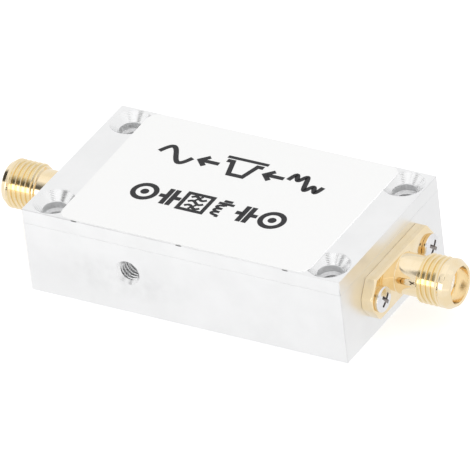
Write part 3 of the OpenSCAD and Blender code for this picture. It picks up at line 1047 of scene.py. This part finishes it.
def arrow(x):
    """A shaft and a head, pointing to greater x."""
    head = [(x + 0.35, 1.0), (x + 1.35, 0), (x + 0.35, -1.0)]
    return strokes(BACK_STROKE, [(x - 1.35, 0), (x + 1.1, 0)], head)


def back_row():
    """What a band-pass filter does: a mixed wave goes in, one band is kept, a clean wave comes out."""
    hump = [(-2.6, -1.15), (-1.75, -1.15), (-1.0, 1.5), (1.0, 1.5), (1.75, -1.15), (2.6, -1.15)]
    return [
        (wave(-9.2, 0, 5.0, 2.1, 60, ripple=0.75), BACK_STROKE, False),
        *arrow(-4.75),
        (hump, BACK_STROKE, False),
        ([(-2.9, -1.95), (2.9, -1.95)], BACK_STROKE * 0.8, False),
        *arrow(4.5),
        (wave(9.3, 0, 4.8, 3.0, 32), BACK_STROKE, False),
    ]


def front_row():
    """The circuit of the filter: port, capacitor, resonator, band-pass symbol, capacitor, port."""
    return [
        *port_symbol(-2.5 * SYMBOL_PITCH),
        *capacitor_symbol(-1.5 * SYMBOL_PITCH),
        *resonator_symbol(-0.5 * SYMBOL_PITCH),
        *band_pass_symbol(0.5 * SYMBOL_PITCH),
        *capacitor_symbol(1.5 * SYMBOL_PITCH),
        *port_symbol(2.5 * SYMBOL_PITCH),
    ]


def print_mesh(drawing, middle):
    """Strokes as thin flat plates on the label. The print reads from behind the box."""
    points, faces = [], []
    for order, (line, width, closed) in enumerate(drawing):
        top = LABEL_TOP - PRINT_DROP - PRINT_STEP * order
        low = LABEL_TOP - PRINT_T
        pairs = ribbon(line, width, closed)
        base = len(points)
        for left, right in pairs:
            for (u, v), z in ((left, low), (left, top), (right, top), (right, low)):
                points.append((middle[0] - u, middle[1] - v, z))
        last = len(pairs) if closed else len(pairs) - 1
        for i in range(last):
            here, there = base + 4 * i, base + 4 * ((i + 1) % len(pairs))
            for k in range(4):
                n = (k + 1) % 4
                faces.append((here + k, here + n, there + n, there + k))
        if not closed:
            end = base + 4 * (len(pairs) - 1)
            faces += [(base, base + 1, base + 2, base + 3), (end + 3, end + 2, end + 1, end)]
    return mesh_of("print", points, faces, merge=False)


# Putting it together

piece("case_body", tapped_body(), [case_metal], "case", "body")
lid_mesh = finer_edges(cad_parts["lid"].data.copy(), SEAM_BREAK, LID_BREAK, LID_TOP - 1)
piece("lid_plate", eased(lid_mesh), [lid_metal], "cover", "lid")
connector(1, "right")
connector(-1, "left")
piece("label_sheet", label_mesh(), [film], "label", "label")
piece("print_symbols", print_mesh(front_row(), SYMBOLS_MIDDLE), [ink], "label")
piece("print_signals", print_mesh(back_row(), SIGNALS_MIDDLE), [ink], "label")

FINISHES = {
    "insulator": insulator_plastic,
    "contact": contact_gold,
    "filter_board": board_material,
    "board_tracks": copper,
    "board_screws": nickel,
    "solder_joints": solder,
    "resonator_coil": silvered_wire,
    "resonator_capacitor": ceramic,
    "coupling_capacitor": ceramic,
}
for node_name, node_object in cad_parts.items():
    for begins, material in FINISHES.items():
        if node_name.startswith(begins):
            node_object.data.materials.clear()
            node_object.data.materials.append(material)


# The studio


def white_for_camera(tree):
    """1 for rays that show the background: from the camera, from gloss and through glass."""
    rays = add_node(tree, "ShaderNodeLightPath").outputs
    seen = calculate(tree, "MAXIMUM", rays["Is Camera Ray"], rays["Is Glossy Ray"])
    return calculate(tree, "MAXIMUM", seen, rays["Is Transmission Ray"])


def direction(azimuth, elevation):
    """The way out from the object, where azimuth 0 is the front and 90 the right end."""
    a, e = math.radians(azimuth), math.radians(elevation)
    return Vector((math.sin(a) * math.cos(e), -math.cos(a) * math.cos(e), math.sin(e)))


def towards_front_left(tree, place, near, far, at_near, at_far):
    """A level that changes across the scene, from its back right to its front left."""
    inputs = {0: place, 1: tuple(direction(SWEEP_AZIMUTH, 0))}
    along = add_node(tree, "ShaderNodeVectorMath", inputs, operation="DOT_PRODUCT").outputs["Value"]
    return fade(tree, along, near, far, at_near, at_far)


def make_world():
    """White for the camera, and for gloss nearly white: a little brighter at the front left."""
    world = bpy.data.worlds.new("studio")
    world.use_nodes = True
    tree = world.node_tree
    tree.nodes.clear()
    rays = add_node(tree, "ShaderNodeLightPath").outputs
    way = add_node(tree, "ShaderNodeTexCoord").outputs["Generated"]
    gloss = towards_front_left(tree, way, *SKY_SWEEP, SKY_BACK, SKY_FRONT)
    level = fade(tree, white_for_camera(tree), 0.0, 1.0, SKY_DIFFUSE, 1.0)
    only_gloss = calculate(tree, "MULTIPLY", rays["Is Glossy Ray"], calculate(tree, "SUBTRACT", gloss, 1.0))
    level = calculate(tree, "ADD", level, only_gloss)
    sky = add_node(tree, "ShaderNodeBackground", {"Color": (1, 1, 1, 1), "Strength": level})
    add_node(tree, "ShaderNodeOutputWorld", {"Surface": sky.outputs[0]})
    bpy.context.scene.world = world


def make_floor():
    """A pale floor. Where no shadow falls it shows as the white background."""
    ways = ((-1, -1), (1, -1), (1, 1), (-1, 1))
    corners = [(i * FLOOR_REACH, j * FLOOR_REACH, -FLOOR_DROP) for i, j in ways]
    mesh = mesh_of("floor", corners, [(0, 1, 2, 3)])
    floor = object_of("floor", mesh)
    made, tree = new_material("pale_floor", (0.9, 0.9, 0.9))
    rays = add_node(tree, "ShaderNodeLightPath").outputs
    place = millimetres(tree)
    mirrored = towards_front_left(tree, place, *FLOOR_SWEEP, FLOOR_BACK, FLOOR_FRONT)
    rise = towards_front_left(tree, place, *FLOOR_RISE_SWEEP, 0.0, FLOOR_RISE)
    mirrored = calculate(tree, "ADD", mirrored, rise)
    in_gloss = calculate(tree, "MAXIMUM", rays["Is Glossy Ray"], rays["Is Transmission Ray"])
    to_camera = calculate(tree, "MULTIPLY", rays["Is Camera Ray"], FLOOR_GLOW)
    to_gloss = calculate(tree, "MULTIPLY", in_gloss, mirrored)
    strength = calculate(tree, "ADD", to_camera, to_gloss)
    paper_level = fade(tree, in_gloss, 0.0, 1.0, FLOOR_PAPER, FLOOR_SHADED)
    paper = add_node(tree, "ShaderNodeBsdfDiffuse", {"Color": paper_level})
    lit = add_node(tree, "ShaderNodeEmission", {"Color": (1, 1, 1, 1), "Strength": strength})
    both = add_node(tree, "ShaderNodeAddShader", {0: paper.outputs[0], 1: lit.outputs[0]})
    add_node(tree, "ShaderNodeOutputMaterial", {"Surface": both.outputs[0]})
    mesh.materials.append(made)


def soft_light(name, azimuth, elevation, distance_m, width, height, power, mirrored):
    """A rectangular lamp that looks back at the middle of the box."""
    lamp = bpy.data.lights.new(name, "AREA")
    lamp.shape = "RECTANGLE"
    lamp.size = width
    lamp.size_y = height
    lamp.energy = power
    made = object_of(name, lamp)
    away = direction(azimuth, elevation)
    made.location = Vector((0, 0, PORT_Z * MM)) + away * distance_m
    made.rotation_mode = "QUATERNION"
    made.rotation_quaternion = away.to_track_quat("Z", "Y")
    made.visible_glossy = mirrored


def felt_material(name, width, height, soft, tone, top_fade):
    """Dark felt that clears towards the rim of an oval, and towards its top if that fades."""
    made, tree = new_material(name, (tone, tone, tone))
    felt = add_node(tree, "ShaderNodeBsdfDiffuse", {"Color": (tone, tone, tone, 1)})
    clear = add_node(tree, "ShaderNodeBsdfTransparent")
    middle = add_node(tree, "ShaderNodeTexCoord").outputs["Object"]
    inputs = {"Vector": middle, "Scale": (2 / MM / width, 2 / MM / height, 1)}
    flat = add_node(tree, "ShaderNodeMapping", inputs).outputs[0]
    apart = add_node(tree, "ShaderNodeVectorMath", {0: flat}, operation="LENGTH").outputs["Value"]
    see_through = fade(tree, apart, 1.0 - soft, 1.0)
    if top_fade:
        upwards = add_node(tree, "ShaderNodeSeparateXYZ", {"Vector": flat}).outputs[1]
        see_through = calculate(tree, "MAXIMUM", see_through, fade(tree, upwards, *top_fade))
    inputs = {0: see_through, 1: felt.outputs[0], 2: clear.outputs[0]}
    edged = add_node(tree, "ShaderNodeMixShader", inputs)
    add_node(tree, "ShaderNodeOutputMaterial", {"Surface": edged.outputs[0]})
    return made


def dark_card(name, place, target, width, height, soft, tone=0.06, top_fade=None, across=None):
    """A dark oval card that only reflections see. Its edge is soft, and so may its top be.

    Its width runs level, or along the given direction as nearly as it can.
    """
    rim = [(x * width / 2, y * height / 2, 0) for x, y in circle(0, 0, 1)]
    mesh = mesh_of(name, rim, [tuple(range(len(rim)))])
    card = object_of(name, mesh)
    away = (Vector(place) - Vector(target)).normalized()
    side = Vector((0, 0, 1)).cross(away)
    if across:
        side = Vector(across) - away * away.dot(Vector(across))
    side.normalize()
    turned = Matrix([side, away.cross(side), away]).transposed()
    card.matrix_world = Matrix.Translation(Vector(place) * MM) @ turned.to_4x4()
    mesh.materials.append(felt_material(name + "_felt", width, height, soft, tone, top_fade))
    card.visible_camera = False
    card.visible_diffuse = False
    card.visible_shadow = False
    card.visible_transmission = False


def card_seen_from(target, azimuth, elevation, away_mm, name, **looks):
    """A dark card in one direction from its target, which it faces."""
    place = Vector(target) + direction(azimuth, elevation) * away_mm
    dark_card(name, place, target, **looks)


def hang_cards():
    """The cards that show as dark bands and lenses in the gold."""
    along_barrel = (1, 0, 0)
    left_look = {"width": 48, "height": 110, "soft": 0.4, "tone": 0.13, "top_fade": (-0.1, 0.9)}
    card_seen_from((-27, -2, 8), -36.5, 42.5, 110, "dark_flag_left", across=along_barrel, **left_look)
    right_look = {"width": 4.6, "height": 54, "soft": 0.4, "tone": 0.24, "top_fade": (0.2, 1.0)}
    card_seen_from((29.4, -2, 8), -36.8, 40, 58, "dark_flag_right", across=along_barrel, **right_look)
    dark_card("dark_flag_end", (-130, 10, 20), (-31, 0, 6), width=72, height=76, soft=0.5)
    card_seen_from((25, -3, 7), 35, 45, 600, "dark_lens", width=255, height=255, soft=0.3)


def make_camera():
    """The photograph's viewpoint and lens."""
    lens = bpy.data.cameras.new("camera")
    lens.sensor_width = SENSOR_WIDTH
    lens.lens = FOCAL_LENGTH
    lens.shift_x, lens.shift_y = LENS_SHIFT
    lens.clip_start = 0.05
    lens.clip_end = 20.0
    camera = object_of("camera", lens)
    turned = Matrix([CAMERA_RIGHT, CAMERA_UP, CAMERA_BACK]).transposed()
    camera.matrix_world = Matrix.Translation(CAMERA_PLACE) @ turned.to_4x4()
    bpy.context.scene.camera = camera


make_camera()
make_world()
make_floor()
for lamp_name, lamp_values in LAMPS.items():
    soft_light(lamp_name, *lamp_values)
hang_cards()
bpy.context.scene.view_settings.view_transform = "Standard"
